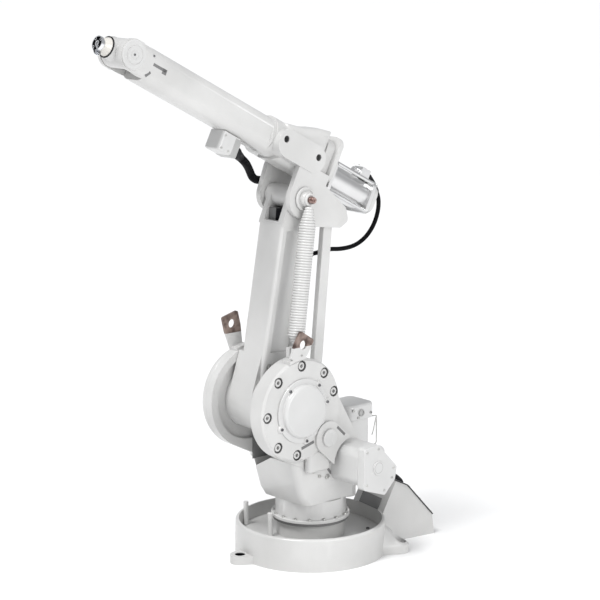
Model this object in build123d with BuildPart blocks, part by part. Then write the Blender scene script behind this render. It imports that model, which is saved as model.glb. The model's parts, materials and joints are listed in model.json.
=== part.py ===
from build123d import *
from math import atan2, cos, degrees, hypot, pi, radians, sin, tan
import os

os.makedirs("parts", exist_ok=True)

# Industrial robot arm with six axes and a parallel rod, in millimetres.
# +X is the front of the base, +Z is up, and the origin is on the floor under axis 1.

# Link lengths
shoulder_reach = 150
shoulder_height = 475
lower_arm_length = 600
elbow_rise = 120
forearm_reach = 720
flange_reach = 85
lever_length = 130

# Rest pose, in degrees
stand_turn = 10.2
arm_lean = 5.5
forearm_pitch = 27.5
wrist_bend = 5.6

# Clearances
running_gap = 0.3
pin_gap = 1.0

# Base
tub_radius = 223
tub_height = 98
tub_wall = 10
tub_floor = 55
tub_draft = 2
tub_lip = 7
column_radius = 100
column_height = 110
foot_height = 25
foot_radius = 29
foot_hole_radius = 9
spot_face_radius = 21
web_height = 52
web_reach = 0.8
web_radius = 14
front_foot_x = 244
rear_foot_x = -207
rear_foot_y = 165
box_width = 160
box_overlap = 15
box_ridge_x = -253
box_top = 188
box_knee_x = -293
box_knee_z = 169
box_back_x = -388
box_back_z = 62
box_end_x = -396
plate_thickness = 3
plate_overhang = 4
power_socket_radius = 24
power_socket_length = 24
signal_socket_width = 74
signal_socket_height = 36
signal_socket_length = 22
socket_y = -36
power_socket_share = 0.72
signal_socket_share = 0.3
stop_pin_radius = 7.5
stop_pin_top = 127
stop_pin_places = ((132, -154), (130, -18))
ring_radius = 117
ring_top = 119.7

# Stand
neck_radius = 105
body_bottom = 172
body_front = ((0, 105), (28, 124), (90, 143), (126, 155), (168, 170))
body_back_x = -95
body_side_y = 98
body_corner = 24
housing_radius = 150
housing_rim = 6
far_rim = 26
near_cheek_y = 75
near_cheek_width = 25
near_housing_width = 27
far_cheek_y = -95
far_cheek_width = 25
far_housing_width = 32
cap_radius = 78
cap_height = 20
cap_edge = 6
cap_flange_radius = 94
cap_flange_height = 6
pinion_x = -98
pinion_z = -96
pinion_radius = 26
pinion_height = 8
pinion_block_radius = 48
pinion_block_height = 8
motor_x = -194
motor_z = -184
motor_boss_radius = 74
motor_body_width = 112
motor_body_corner = 26
motor_length = 112
motor_cover_depth = 28
motor_cover_corner = 9
motor_cover_outline = ((54, 65), (-3, 69), (-78, -9), (-70, -47), (-29, -87), (56, -57))
motor_button_radius = 20
motor_button_height = 5
pocket_radius = 165
pocket_fall = 50
yaw_motor_x = -186
yaw_motor_y = -27
yaw_shelf_radius = 45
yaw_shelf_bottom = 176
yaw_shelf_top = 198
yaw_boss_x = -150
yaw_boss_radius = 26
yaw_boss_bottom = 136
yaw_motor_width = 88
yaw_motor_corner = 16
yaw_motor_top = 369
yaw_cover_width = 110
yaw_cover_top = 416
yaw_cover_corner = 24
yaw_cover_edge = 9
lug_thickness = 8
lug_width = 44
lug_foot = 27
lug_hole_radius = 13
lug_corner = 6
lug_flare = 8
lug_edge = 8
near_lug_y = 124
near_lug_lean = 33
near_lug_height = 84
near_lug_angle = 79
far_lug_y = -126
far_lug_lean = 14
far_lug_height = 104
far_lug_angle = 80

# Lower arm
hub_radius = 90
hub_near_y = 15
hub_end_y = -105.7
hub_recess_radius = 126
hub_recess_y = -106
hub_blend_height = 138
arm_depth = 118
arm_corner = 9
arm_foot_width = 98
arm_head_width = 101
arm_foot_y = -44
arm_head_y = 4
arm_head_height = 526
flange_thickness = 20
rear_rib = 14
side_recess = 20
recess_bottom = 150
recess_top = 506
window_near_y = 33
window_far_y = -28
window_sill = 6
barrel_radius = 33
barrel_near_y = 54
barrel_far_y = -58
rod_side_y = 28
rod_side_x = -22
pin_radius = 20

# Balancing spring, hooked between an anchor on the near housing and the elbow pin
spring_y = 97
spring_radius = 25
spring_foot = 42
spring_head = 75
spring_shank = 7
eye_wall = 6
anchor_height = 172
anchor_pin_radius = 6
anchor_width = 30
anchor_eye = 14
stud_radius = 10
stud_eye = 19
eye_width = 12
stud_end = 116
pin_near_y = 84
pin_far_y = -80

# Parallel rod and crank
rod_width = 34
rod_thickness = 20
rod_y = 43
eye_radius = 26
crank_width = 18
crank_hub_radius = 60
link_pin_radius = 11

# Upper arm
cheek_width = 16
near_fork_y = 72
far_fork_y = -60
near_lobe_radius = 56
far_lobe_radius = 50
cheek_front = 58
cheek_back = -62
ring_boss_radius = 31
ring_boss_height = 4
ear_outline = ((-40, 70), (-165, 38), (-192, 8), (-172, -22), (-88, -52), (0, -55))
ear_corner = 14
housing_bottom = 64
housing_width = 104
housing_corner = 30
housing_back = -45
housing_front = 128
housing_top = ((128, 176), (59, 190), (5, 211), (-45, 222))
collar_radius = 56
collar_rise = 4
collar_back = 100
collar_front = 165
side_pad_y = 75
side_pad_radius = 40
side_pad_back = 14
side_pad_rise = -3.5
boss_hole_radius = 10
boss_hole_front = 140.6
boss_hole_back = 3.6
boss_hole_rise = 5
boss_hole_depth = 24
waist_back = -75
waist_width = 80
waist_bottom = 84
waist_top = 204
rear_flange_back = -90
rear_flange_width = 112
rear_flange_bottom = 76
rear_flange_top = 217

# Axis 4 motor
end_plate_width = 100
end_plate_corner = 16
end_plate_depth = 12
motor_barrel_radius = 44
motor_barrel_length = 160
tie_rod_radius = 5.5
tie_rod_spread = 84
motor_drop = 14
motor_cap_width = 84
motor_cap_corner = 26
motor_cap_depth = 28
motor_cap_edge = 8
terminal_width = 36
terminal_length = 36
terminal_height = 34
terminal_gland_radius = 9
terminal_gland_length = 20
plug_radius = 10.5
plug_length = 32
plug_rise = 64
plug_tilt = 25

# Forearm
tube_height = 100
tube_width = 92
tube_corner = 34
tube_flange_radius = 52
tube_flange_length = 10
cable_box_place = 290
cable_box_length = 72
cable_box_width = 62
cable_box_height = 56
cable_box_corner = 10
cable_box_edge = 6

# Wrist
fork_near_y = 53
fork_far_y = -48
fork_slot = 76
slot_near_y = 38
fork_setback = 80
fork_blend = 60
fork_lobe = 42
fork_corner = 11
fork_disc_radius = 40
fork_disc_height = 4
fork_disc_depth = 14
slot_depth = 62
wrist_barrel = 40
wrist_spigot = 28
wrist_width = 70
wrist_nose = 52
wrist_nose_radius = 27
sleeve_end = 72
sleeve_radius = 23
flange_radius = 25
flange_pcd = 31.5
flange_hole_radius = 2.5
flange_hole_depth = 8
flange_bore_radius = 8
flange_bore_depth = 5

# Cable and hose that the arm carries, with their glands. A bend takes up a share of the shorter run.
bend_share = 0.45
cable_radius = 6.5
cable_gland_radius = 11
cable_gland_length = 30
cable_gland_height = 430
cable_straight = 34
cable_route = (
    (-354, 117), (-364, 84), (-364, 44), (-349, 2), (-318, -34), (-272, -61), (-222, -79)
)
hose_radius = 12
hose_gland_radius = 17
hose_gland_length = 26
hose_exit_y = -5
hose_exit_n = 38
hose_end_n = 51
hose_lift = 2
hose_route = ((196, -12, 34), (150, -42, 32), (105, -74, 34), (62, -94, 38), (20, -97, 51))
clamp_front = -14
clamp_length = 30
clamp_width = 32
clamp_height = 38

# Link frames
stand_frame = Location((0, 0, 0), (0, 0, stand_turn))
shoulder = stand_frame * Location((shoulder_reach, 0, shoulder_height))
lower_link = shoulder * Location((0, 0, 0), (0, -arm_lean, 0))
elbow = lower_link * Location((0, 0, lower_arm_length))
upper_link = elbow * Location((0, 0, 0), (0, arm_lean - forearm_pitch, 0))
crank_link = shoulder * Location((0, 0, 0), (0, -forearm_pitch, 0))
rod_foot = crank_link * Location((-lever_length, 0, 0))
rod_link = rod_foot * Location((0, 0, 0), (0, forearm_pitch - arm_lean, 0))
forearm_link = upper_link * Location((0, 0, elbow_rise))
wrist_link = forearm_link * Location((forearm_reach, 0, 0), (0, wrist_bend, 0))

spring_run_x = -lower_arm_length * sin(radians(arm_lean))
spring_run_z = lower_arm_length * cos(radians(arm_lean)) - anchor_height
spring_length = hypot(spring_run_x, spring_run_z)
spring_lean = degrees(atan2(spring_run_x, spring_run_z))
spring_link = shoulder * Location((0, spring_y, anchor_height), (0, spring_lean, 0))


def across(frame, y):
    """Plane square to a link's pins at y, facing the far side."""
    return Plane(frame * Location((0, y, 0), (90, 0, 0)))


def along(frame, x):
    """Plane square to a link's own x, with its y across and z up."""
    return Plane(frame * Location((x, 0, 0), (90, 90, 0)))


def level(frame, z):
    """Plane square to a link's own z."""
    return Plane(frame * Location((0, 0, z)))


def finish(builder, label):
    """Names a piece and writes it out."""
    builder.part.label = label
    export_step(builder.part, "parts/" + label + ".step")


# Base casting
rear_feet = ((rear_foot_x, rear_foot_y), (rear_foot_x, -rear_foot_y))
foot_places = ((front_foot_x, 0),) + rear_feet
cavity_radius = tub_radius - tub_wall
with BuildPart() as base_casting:
    with BuildSketch(Plane.XZ) as tub_profile:
        with BuildLine():
            Polyline(
                (0, 0), (tub_radius + tub_draft, 0), (tub_radius, tub_height), (0, tub_height), close=True
            )
        make_face()
        fillet(tub_profile.vertices().sort_by(SortBy.DISTANCE)[-1], tub_lip)
    revolve(axis=Axis.Z)
    for x, y in foot_places:
        with BuildSketch(Plane.XY):
            Circle(tub_radius / 2)
            with Locations((x, y)):
                Circle(foot_radius)
            make_hull()
        extrude(amount=foot_height)
    for x, y in rear_feet:
        web_top = foot_height + web_height
        for z, reach, radius in ((foot_height, 1, foot_radius), (web_top, web_reach, web_radius)):
            with BuildSketch(Plane.XY.offset(z)):
                Circle(tub_radius / 2)
                with Locations((x * reach, y * reach)):
                    Circle(radius)
                make_hull()
        loft()
    with BuildSketch(Plane.XY.offset(foot_height)):
        with Locations(*foot_places):
            Circle(spot_face_radius)
    extrude(amount=tub_height, mode=Mode.SUBTRACT)
    with BuildSketch(Plane.XZ):
        with BuildLine():
            Polyline(
                (0, tub_floor),
                (cavity_radius - tub_draft, tub_floor),
                (cavity_radius, tub_height),
                (0, tub_height),
                close=True,
            )
        make_face()
    revolve(axis=Axis.Z, mode=Mode.SUBTRACT)
    with BuildSketch(Plane.XZ):
        with BuildLine():
            Polyline(
                (0, tub_floor), (column_radius + tub_draft, tub_floor), (column_radius, column_height),
                (0, column_height), close=True,
            )
        make_face()
    revolve(axis=Axis.Z)
    with BuildSketch(Plane.XZ.offset(-box_width / 2)):
        with BuildLine():
            Polyline(
                (box_overlap - tub_radius, 0),
                (box_overlap - tub_radius, tub_height),
                (box_ridge_x, box_top),
                (box_knee_x, box_knee_z),
                (box_back_x, box_back_z),
                (box_end_x, 0),
                close=True,
            )
        make_face()
    extrude(amount=box_width)
    with Locations([(x, y, foot_height) for x, y in foot_places]):
        Hole(foot_hole_radius, depth=foot_height)
finish(base_casting, "base_casting")

with BuildPart() as connection_plate:
    with BuildSketch(Plane.XZ.offset(-box_width / 2 - plate_overhang)):
        with BuildLine():
            plate_line = Polyline((box_ridge_x, box_top), (box_knee_x, box_knee_z), (box_back_x, box_back_z))
            offset(plate_line, amount=plate_thickness, side=Side.RIGHT)
        make_face()
    extrude(amount=box_width + 2 * plate_overhang)
finish(connection_plate, "connection_plate")

slope_length = hypot(box_knee_x - box_back_x, box_knee_z - box_back_z)
slope_tilt = -degrees(atan2(box_knee_x - box_back_x, box_knee_z - box_back_z))
slope = Location((box_back_x, 0, box_back_z), (0, -slope_tilt - 90, 0)) * Location((0, 0, plate_thickness))
with BuildPart() as power_socket:
    with BuildSketch(Plane(slope * Location((slope_length * power_socket_share, socket_y, 0)))):
        Circle(power_socket_radius)
    extrude(amount=power_socket_length)
finish(power_socket, "power_socket")

with BuildPart() as signal_socket:
    with BuildSketch(Plane(slope * Location((slope_length * signal_socket_share, socket_y, 0)))):
        Rectangle(signal_socket_height, signal_socket_width)
    extrude(amount=signal_socket_length)
finish(signal_socket, "signal_socket")

with BuildPart() as swivel_ring:
    with BuildSketch(Plane.XY.offset(column_height)):
        Circle(ring_radius)
    extrude(amount=ring_top - column_height)
finish(swivel_ring, "swivel_ring")

for number, (x, y) in enumerate(stop_pin_places, 1):
    with BuildPart() as stop_pin:
        with BuildSketch(Plane.XY.offset(tub_floor)):
            with Locations((x, y)):
                Circle(stop_pin_radius)
        extrude(amount=stop_pin_top - tub_floor)
    finish(stop_pin, "stop_pin_" + str(number))

# Stand casting
near_face_y = near_cheek_y + near_cheek_width + near_housing_width
near_plate_y = near_cheek_y + near_cheek_width
far_plate_y = far_cheek_y - far_cheek_width
with BuildPart() as stand_casting:
    with BuildSketch(level(stand_frame, ring_top + running_gap)):
        Circle(neck_radius)
    extrude(amount=body_bottom - ring_top - running_gap)
    for rise, front in body_front:
        with BuildSketch(level(stand_frame, body_bottom + rise)):
            with Locations(((front + body_back_x) / 2, 0)):
                RectangleRounded(front - body_back_x, 2 * body_side_y, body_corner)
    loft(ruled=True)
    with BuildSketch(across(shoulder, near_cheek_y)):
        Circle(pocket_radius)
    extrude(amount=near_cheek_y - far_cheek_y, mode=Mode.SUBTRACT)
    with BuildSketch(along(stand_frame, 0)):
        with BuildLine():
            Polyline(
                (far_cheek_y, shoulder_height - pocket_radius - pocket_fall),
                (far_cheek_y, shoulder_height),
                (near_cheek_y, shoulder_height),
                (0, shoulder_height - pocket_radius),
                close=True,
            )
        make_face()
    extrude(amount=2 * pocket_radius, mode=Mode.SUBTRACT)
    for y, width in ((near_plate_y, near_cheek_width), (far_cheek_y, far_cheek_width)):
        with BuildSketch(across(shoulder, y)):
            Circle(housing_radius)
            with Locations((motor_x, motor_z)):
                Circle(motor_boss_radius)
            make_hull()
        extrude(amount=width)
    with BuildSketch(level(stand_frame, yaw_shelf_bottom)):
        Circle(yaw_shelf_radius)
        with Locations((yaw_motor_x, yaw_motor_y)):
            Circle(yaw_shelf_radius)
        make_hull()
    extrude(amount=yaw_shelf_top - yaw_shelf_bottom)
    with BuildSketch(level(stand_frame, yaw_boss_bottom)):
        with Locations((yaw_boss_x, 0)):
            Circle(yaw_boss_radius)
    extrude(amount=yaw_shelf_bottom - yaw_boss_bottom)
    with BuildSketch(across(shoulder, far_cheek_y)):
        Circle(hub_recess_radius)
    extrude(amount=far_cheek_y - hub_recess_y, mode=Mode.SUBTRACT)
finish(stand_casting, "stand_casting")

with BuildPart() as axis_3_gear_housing:
    with BuildSketch(across(shoulder, near_face_y)):
        Circle(housing_radius)
    extrude(amount=near_housing_width)
    end_face = axis_3_gear_housing.faces().filter_by(GeomType.PLANE).sort_by(shoulder.y_axis)[-1]
    chamfer(end_face.edges(), housing_rim)
    with BuildSketch(across(shoulder, near_face_y + pinion_block_height)):
        with Locations((pinion_x, pinion_z)):
            Circle(pinion_block_radius)
        with Locations((motor_x, motor_z)):
            Circle(pinion_block_radius)
        make_hull()
        with Locations((motor_x, motor_z)):
            Circle(motor_boss_radius + running_gap, mode=Mode.SUBTRACT)
    extrude(amount=near_housing_width + pinion_block_height)
finish(axis_3_gear_housing, "axis_3_gear_housing")

with BuildPart() as axis_2_gear_housing:
    with BuildSketch(across(shoulder, far_plate_y)):
        Circle(housing_radius)
    extrude(amount=far_housing_width)
    end_face = axis_2_gear_housing.faces().filter_by(GeomType.PLANE).sort_by(shoulder.y_axis)[0]
    fillet(end_face.edges(), far_rim)
finish(axis_2_gear_housing, "axis_2_gear_housing")

with BuildPart() as centre_cap:
    with BuildSketch(across(shoulder, near_face_y + cap_flange_height)):
        Circle(cap_flange_radius)
        with Locations((pinion_x, pinion_z)):
            Circle(pinion_block_radius + pin_gap, mode=Mode.SUBTRACT)
    extrude(amount=cap_flange_height)
    with BuildSketch(across(shoulder, near_face_y + cap_height)):
        Circle(cap_radius)
    extrude(amount=cap_height - cap_flange_height)
    end_face = centre_cap.faces().filter_by(GeomType.PLANE).sort_by(shoulder.y_axis)[-1]
    chamfer(end_face.edges(), cap_edge)
finish(centre_cap, "centre_cap")

with BuildPart() as pinion_cover:
    cover_y = near_face_y + pinion_block_height + pinion_height
    with BuildSketch(across(shoulder, cover_y)):
        with Locations((pinion_x, pinion_z)):
            Circle(pinion_radius)
    extrude(amount=pinion_height)
finish(pinion_cover, "pinion_cover")


def drive_motor(face_y, side, label):
    """Motor that stands out from a cheek, with its end cover. Side is 1 for near, -1 for far."""
    with BuildPart() as motor:
        with BuildSketch(across(shoulder, max(face_y, face_y + side * motor_length))):
            with Locations((motor_x, motor_z)):
                RectangleRounded(motor_body_width, motor_body_width, motor_body_corner)
        extrude(amount=motor_length)
    finish(motor, label)
    cover_y = face_y + side * motor_length
    button_y = cover_y + side * motor_cover_depth
    with BuildPart() as cover:
        with BuildSketch(across(shoulder, max(cover_y, button_y))) as cover_outline:
            with BuildLine():
                Polyline([(motor_x + x, motor_z + z) for x, z in motor_cover_outline], close=True)
            make_face()
            fillet(cover_outline.vertices(), motor_cover_corner)
        extrude(amount=motor_cover_depth)
        with BuildSketch(across(shoulder, max(button_y, button_y + side * motor_button_height))):
            with Locations((motor_x, motor_z)):
                Circle(motor_button_radius)
        extrude(amount=motor_button_height)
    finish(cover, label + "_cover")


drive_motor(near_plate_y, 1, "axis_3_motor")
drive_motor(far_plate_y, -1, "axis_2_motor")

with BuildPart() as axis_1_motor:
    with BuildSketch(level(stand_frame, yaw_shelf_top)):
        with Locations((yaw_motor_x, yaw_motor_y)):
            RectangleRounded(yaw_motor_width, yaw_motor_width, yaw_motor_corner)
    extrude(amount=yaw_motor_top - yaw_shelf_top)
finish(axis_1_motor, "axis_1_motor")

with BuildPart() as axis_1_motor_cover:
    with BuildSketch(level(stand_frame, yaw_motor_top)):
        with Locations((yaw_motor_x, yaw_motor_y)):
            RectangleRounded(yaw_cover_width, yaw_cover_width, yaw_cover_corner)
    extrude(amount=yaw_cover_top - yaw_motor_top)
    fillet(axis_1_motor_cover.faces().sort_by(Axis.Z)[-1].edges(), yaw_cover_edge)
finish(axis_1_motor_cover, "axis_1_motor_cover")

# Lifting lugs, bent from plate and bolted on top of the drums
for label, y, fold, angle, lean, height in (
    ("lifting_lug_1", near_lug_y, 1, near_lug_angle, -near_lug_lean, near_lug_height),
    ("lifting_lug_2", far_lug_y, -1, far_lug_angle, far_lug_lean, far_lug_height),
):
    seat = shoulder * Location((0, 0, 0), (0, 90 - angle, 0))
    ear = seat * Location((0, 0, housing_radius), (0, lean - 90 + angle, 0))
    outer_y = y + (lug_thickness if fold > 0 else 0)
    with BuildPart() as lug:
        with BuildSketch(across(ear, outer_y)) as ear_outline_sketch:
            with BuildLine():
                Polyline(
                    (-lug_width / 2, 0),
                    (lug_width / 2, 0),
                    (lug_width / 2 + lug_flare, height - lug_width),
                    (lug_width / 2 + lug_flare, height),
                    (-lug_width / 2 - lug_flare, height),
                    (-lug_width / 2 - lug_flare, height - lug_width),
                    close=True,
                )
            make_face()
            fillet(ear_outline_sketch.vertices().group_by(Axis.Y)[-1], lug_corner)
            with Locations((0, height - lug_width / 2 - lug_edge)):
                Circle(lug_hole_radius, mode=Mode.SUBTRACT)
        extrude(amount=lug_thickness)
        with BuildSketch(across(seat, outer_y if fold > 0 else y + lug_foot)):
            with Locations((0, housing_radius)):
                Rectangle(lug_width, 2 * lug_thickness)
        extrude(amount=lug_foot)
        with BuildSketch(across(shoulder, y + 2 * lug_foot)):
            Circle(housing_radius)
        extrude(amount=4 * lug_foot, mode=Mode.SUBTRACT)
    finish(lug, label)

# Lower arm
with BuildPart() as lower_arm:
    for h in (0, arm_head_height):
        share = h / arm_head_height
        width = arm_foot_width + share * (arm_head_width - arm_foot_width)
        with BuildSketch(level(lower_link, h)):
            with Locations((0, arm_foot_y + share * (arm_head_y - arm_foot_y))):
                RectangleRounded(arm_depth, width, arm_corner)
    loft()
    with BuildSketch(across(lower_link, arm_foot_y + arm_foot_width / 2)):
        Circle(hub_radius)
        with Locations((0, hub_blend_height)):
            Rectangle(arm_depth, arm_corner)
        make_hull()
    extrude(amount=arm_foot_width)
    with BuildSketch(across(lower_link, hub_near_y)):
        Circle(hub_radius)
    extrude(amount=hub_near_y - hub_end_y)
    head_near_y = arm_head_y + arm_head_width / 2
    with BuildSketch(across(elbow, head_near_y)):
        Circle(barrel_radius)
        with Locations((0, arm_head_height - lower_arm_length - window_sill / 2)):
            Rectangle(arm_depth, window_sill)
        make_hull()
    extrude(amount=arm_head_width)
    with BuildSketch(across(elbow, window_near_y)):
        with Locations((0, (arm_head_height - lower_arm_length + window_sill + 2 * barrel_radius) / 2)):
            Rectangle(2 * arm_depth, lower_arm_length - arm_head_height - window_sill + 2 * barrel_radius)
    extrude(amount=window_near_y - window_far_y, mode=Mode.SUBTRACT)
    for h in (recess_bottom, recess_top):
        share = h / arm_head_height
        near_y = arm_foot_y + arm_foot_width / 2 + share * (head_near_y - arm_foot_y - arm_foot_width / 2)
        with BuildSketch(level(lower_link, h)):
            with Locations(((rear_rib - flange_thickness) / 2, near_y)):
                Rectangle(arm_depth - flange_thickness - rear_rib, 2 * side_recess)
    loft(mode=Mode.SUBTRACT)
    with BuildSketch(across(elbow, barrel_near_y)):
        Circle(barrel_radius)
    extrude(amount=barrel_near_y - barrel_far_y)
    with BuildSketch(across(lower_link, barrel_near_y + side_recess)):
        with Locations((rod_side_x - arm_depth, lower_arm_length / 2)):
            Rectangle(2 * arm_depth, 2 * lower_arm_length)
    extrude(amount=barrel_near_y + side_recess - rod_side_y, mode=Mode.SUBTRACT)
    with BuildSketch(across(elbow, arm_head_width)):
        Circle(pin_radius + running_gap)
    extrude(amount=2 * arm_head_width, mode=Mode.SUBTRACT)
finish(lower_arm, "lower_arm")

with BuildPart() as elbow_pin:
    with BuildSketch(across(elbow, pin_near_y)):
        Circle(pin_radius)
    extrude(amount=pin_near_y - pin_far_y)
    with BuildSketch(across(elbow, stud_end)):
        Circle(stud_radius)
    extrude(amount=stud_end - pin_near_y)
finish(elbow_pin, "elbow_pin")

with BuildPart() as balancing_spring:
    for z, outer, inner in (
        (0, anchor_eye, anchor_pin_radius + running_gap),
        (spring_length, stud_eye, stud_radius + running_gap),
    ):
        with BuildSketch(across(spring_link * Location((0, 0, z)), eye_width / 2)):
            Circle(outer)
            Circle(inner, mode=Mode.SUBTRACT)
        extrude(amount=eye_width)
    with BuildSketch(level(spring_link, anchor_eye - eye_wall / 2)):
        Circle(spring_shank)
    extrude(amount=spring_foot - anchor_eye + eye_wall / 2)
    with BuildSketch(level(spring_link, spring_foot)):
        Circle(spring_radius)
    extrude(amount=spring_length - spring_foot - spring_head)
    with BuildSketch(level(spring_link, spring_length - spring_head)):
        Circle(spring_radius)
    with BuildSketch(level(spring_link, spring_length - stud_eye + eye_wall / 2)):
        Circle(spring_shank)
    loft()
finish(balancing_spring, "balancing_spring")

with BuildPart() as spring_anchor:
    anchor_near_y = spring_y - eye_width / 2 - running_gap
    with BuildSketch(across(shoulder, anchor_near_y)):
        with Locations((0, (housing_radius + anchor_height) / 2)):
            Rectangle(anchor_width, anchor_height - housing_radius + anchor_eye)
    extrude(amount=anchor_near_y - near_cheek_y)
    with BuildSketch(across(shoulder, anchor_near_y)):
        Circle(housing_radius)
    extrude(amount=anchor_near_y - near_cheek_y, mode=Mode.SUBTRACT)
    with BuildSketch(across(shoulder, spring_y + eye_width / 2)):
        with Locations((0, anchor_height)):
            Circle(anchor_pin_radius)
    extrude(amount=eye_width + running_gap)
finish(spring_anchor, "spring_anchor")

# Crank and parallel rod
crank_near_y = near_cheek_y - running_gap
crank_far_y = crank_near_y - crank_width
with BuildPart() as crank:
    with BuildSketch(across(crank_link, crank_near_y)):
        Circle(crank_hub_radius)
        with Locations((-lever_length, 0)):
            Circle(eye_radius)
        make_hull()
    extrude(amount=crank_width)
    with BuildSketch(across(rod_foot, crank_far_y)):
        Circle(link_pin_radius)
    extrude(amount=crank_far_y - rod_y + rod_thickness / 2)
finish(crank, "crank")

with BuildPart() as parallel_rod:
    with BuildSketch(across(rod_link, rod_y + rod_thickness / 2)):
        Circle(eye_radius)
        with Locations((0, lower_arm_length)):
            Circle(eye_radius)
        with Locations((0, lower_arm_length / 2)):
            Rectangle(rod_width, lower_arm_length)
        Circle(link_pin_radius + pin_gap, mode=Mode.SUBTRACT)
        with Locations((0, lower_arm_length)):
            Circle(link_pin_radius + pin_gap, mode=Mode.SUBTRACT)
    extrude(amount=rod_thickness)
finish(parallel_rod, "parallel_rod")

# Upper arm housing with its fork and lever ear
with BuildPart() as upper_arm_housing:
    with BuildSketch(across(upper_link, housing_width / 2)):
        with BuildLine():
            Polyline(
                (housing_back, housing_bottom), (housing_front, housing_bottom), *housing_top, close=True
            )
        make_face()
    extrude(amount=housing_width)
    by_side = upper_arm_housing.faces().sort_by(upper_link.y_axis)
    fillet(by_side[0].edges() + by_side[-1].edges(), housing_corner)
    with BuildSketch(along(forearm_link, collar_back)):
        with Locations((0, collar_rise)):
            Circle(collar_radius)
    extrude(amount=collar_front - collar_back)
    with BuildSketch(across(forearm_link, side_pad_y)):
        for s in (side_pad_back, collar_front - side_pad_radius):
            with Locations((s, side_pad_rise)):
                Circle(side_pad_radius)
        make_hull()
    extrude(amount=side_pad_y - far_fork_y + cheek_width)
    with BuildSketch(along(forearm_link, waist_back)):
        with Locations((0, (waist_top + waist_bottom) / 2 - elbow_rise)):
            RectangleRounded(waist_width, waist_top - waist_bottom, housing_corner)
    extrude(amount=housing_back - waist_back)
    with BuildSketch(along(forearm_link, rear_flange_back)):
        with Locations((0, (rear_flange_top + rear_flange_bottom) / 2 - elbow_rise)):
            RectangleRounded(rear_flange_width, rear_flange_top - rear_flange_bottom, housing_corner)
    extrude(amount=waist_back - rear_flange_back)
    for y, lobe in ((near_fork_y, near_lobe_radius), (far_fork_y, far_lobe_radius)):
        with BuildSketch(across(upper_link, y)):
            Circle(lobe)
            with Locations(((cheek_front + cheek_back) / 2, housing_bottom + housing_corner / 2)):
                Rectangle(cheek_front - cheek_back, housing_corner)
            make_hull()
        extrude(amount=cheek_width)
    with BuildSketch(across(upper_link, near_fork_y)) as ear_sketch:
        with BuildLine():
            Polyline(ear_outline, close=True)
        make_face()
        fillet(ear_sketch.vertices().sort_by(Axis.X)[:3], ear_corner)
    extrude(amount=cheek_width)
    with BuildSketch(across(upper_link, near_fork_y + ring_boss_height)):
        Circle(ring_boss_radius)
    extrude(amount=ring_boss_height)
    with BuildSketch(across(upper_link, near_fork_y + ring_boss_height)):
        Circle(pin_radius + running_gap)
    extrude(amount=near_fork_y + ring_boss_height - far_fork_y + cheek_width, mode=Mode.SUBTRACT)
    with BuildSketch(across(upper_link, near_fork_y - cheek_width)):
        with Locations((-lever_length, 0)):
            Circle(link_pin_radius)
    extrude(amount=near_fork_y - cheek_width - rod_y + rod_thickness / 2)
    with BuildSketch(across(forearm_link, side_pad_y)):
        with Locations((boss_hole_front, boss_hole_rise), (boss_hole_back, boss_hole_rise)):
            Circle(boss_hole_radius)
    extrude(amount=boss_hole_depth, mode=Mode.SUBTRACT)
finish(upper_arm_housing, "upper_arm_housing")

front_plate_s = rear_flange_back - end_plate_depth
motor_link = forearm_link * Location((0, 0, -motor_drop))
back_plate_s = front_plate_s - motor_barrel_length - end_plate_depth
with BuildPart() as axis_4_motor:
    for s in (front_plate_s, back_plate_s):
        with BuildSketch(along(motor_link, s)):
            RectangleRounded(end_plate_width, end_plate_width, end_plate_corner)
        extrude(amount=end_plate_depth)
    with BuildSketch(along(motor_link, back_plate_s + end_plate_depth)):
        Circle(motor_barrel_radius)
        with GridLocations(tie_rod_spread, tie_rod_spread, 2, 2):
            Circle(tie_rod_radius)
    extrude(amount=motor_barrel_length)
finish(axis_4_motor, "axis_4_motor")

with BuildPart() as axis_4_motor_cover:
    with BuildSketch(along(motor_link, back_plate_s - motor_cap_depth)):
        RectangleRounded(motor_cap_width, motor_cap_width, motor_cap_corner)
    extrude(amount=motor_cap_depth)
    fillet(axis_4_motor_cover.faces().sort_by(forearm_link.x_axis)[0].edges(), motor_cap_edge)
finish(axis_4_motor_cover, "axis_4_motor_cover")

with BuildPart() as terminal_box:
    with BuildSketch(along(motor_link, back_plate_s + end_plate_depth)):
        with Locations((0, motor_barrel_radius + terminal_height / 2)):
            Rectangle(terminal_width, terminal_height)
    extrude(amount=terminal_length)
    with BuildSketch(along(motor_link, 0)):
        Circle(motor_barrel_radius)
    extrude(amount=2 * back_plate_s, mode=Mode.SUBTRACT)
    with BuildSketch(along(motor_link, back_plate_s + end_plate_depth + terminal_length)):
        with Locations((0, motor_barrel_radius + terminal_height / 2)):
            Circle(terminal_gland_radius)
    extrude(amount=terminal_gland_length)
finish(terminal_box, "terminal_box")

plug_place = motor_link * Location((back_plate_s, 0, plug_rise), (0, -plug_tilt, 0))
with BuildPart() as motor_plug:
    with BuildSketch(along(plug_place, -plug_length)):
        Circle(plug_radius)
    extrude(amount=plug_length)
    with BuildSketch(along(motor_link, back_plate_s)):
        Rectangle(2 * end_plate_width, 2 * end_plate_width)
    extrude(amount=plug_length, mode=Mode.SUBTRACT)
finish(motor_plug, "motor_plug")

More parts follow.
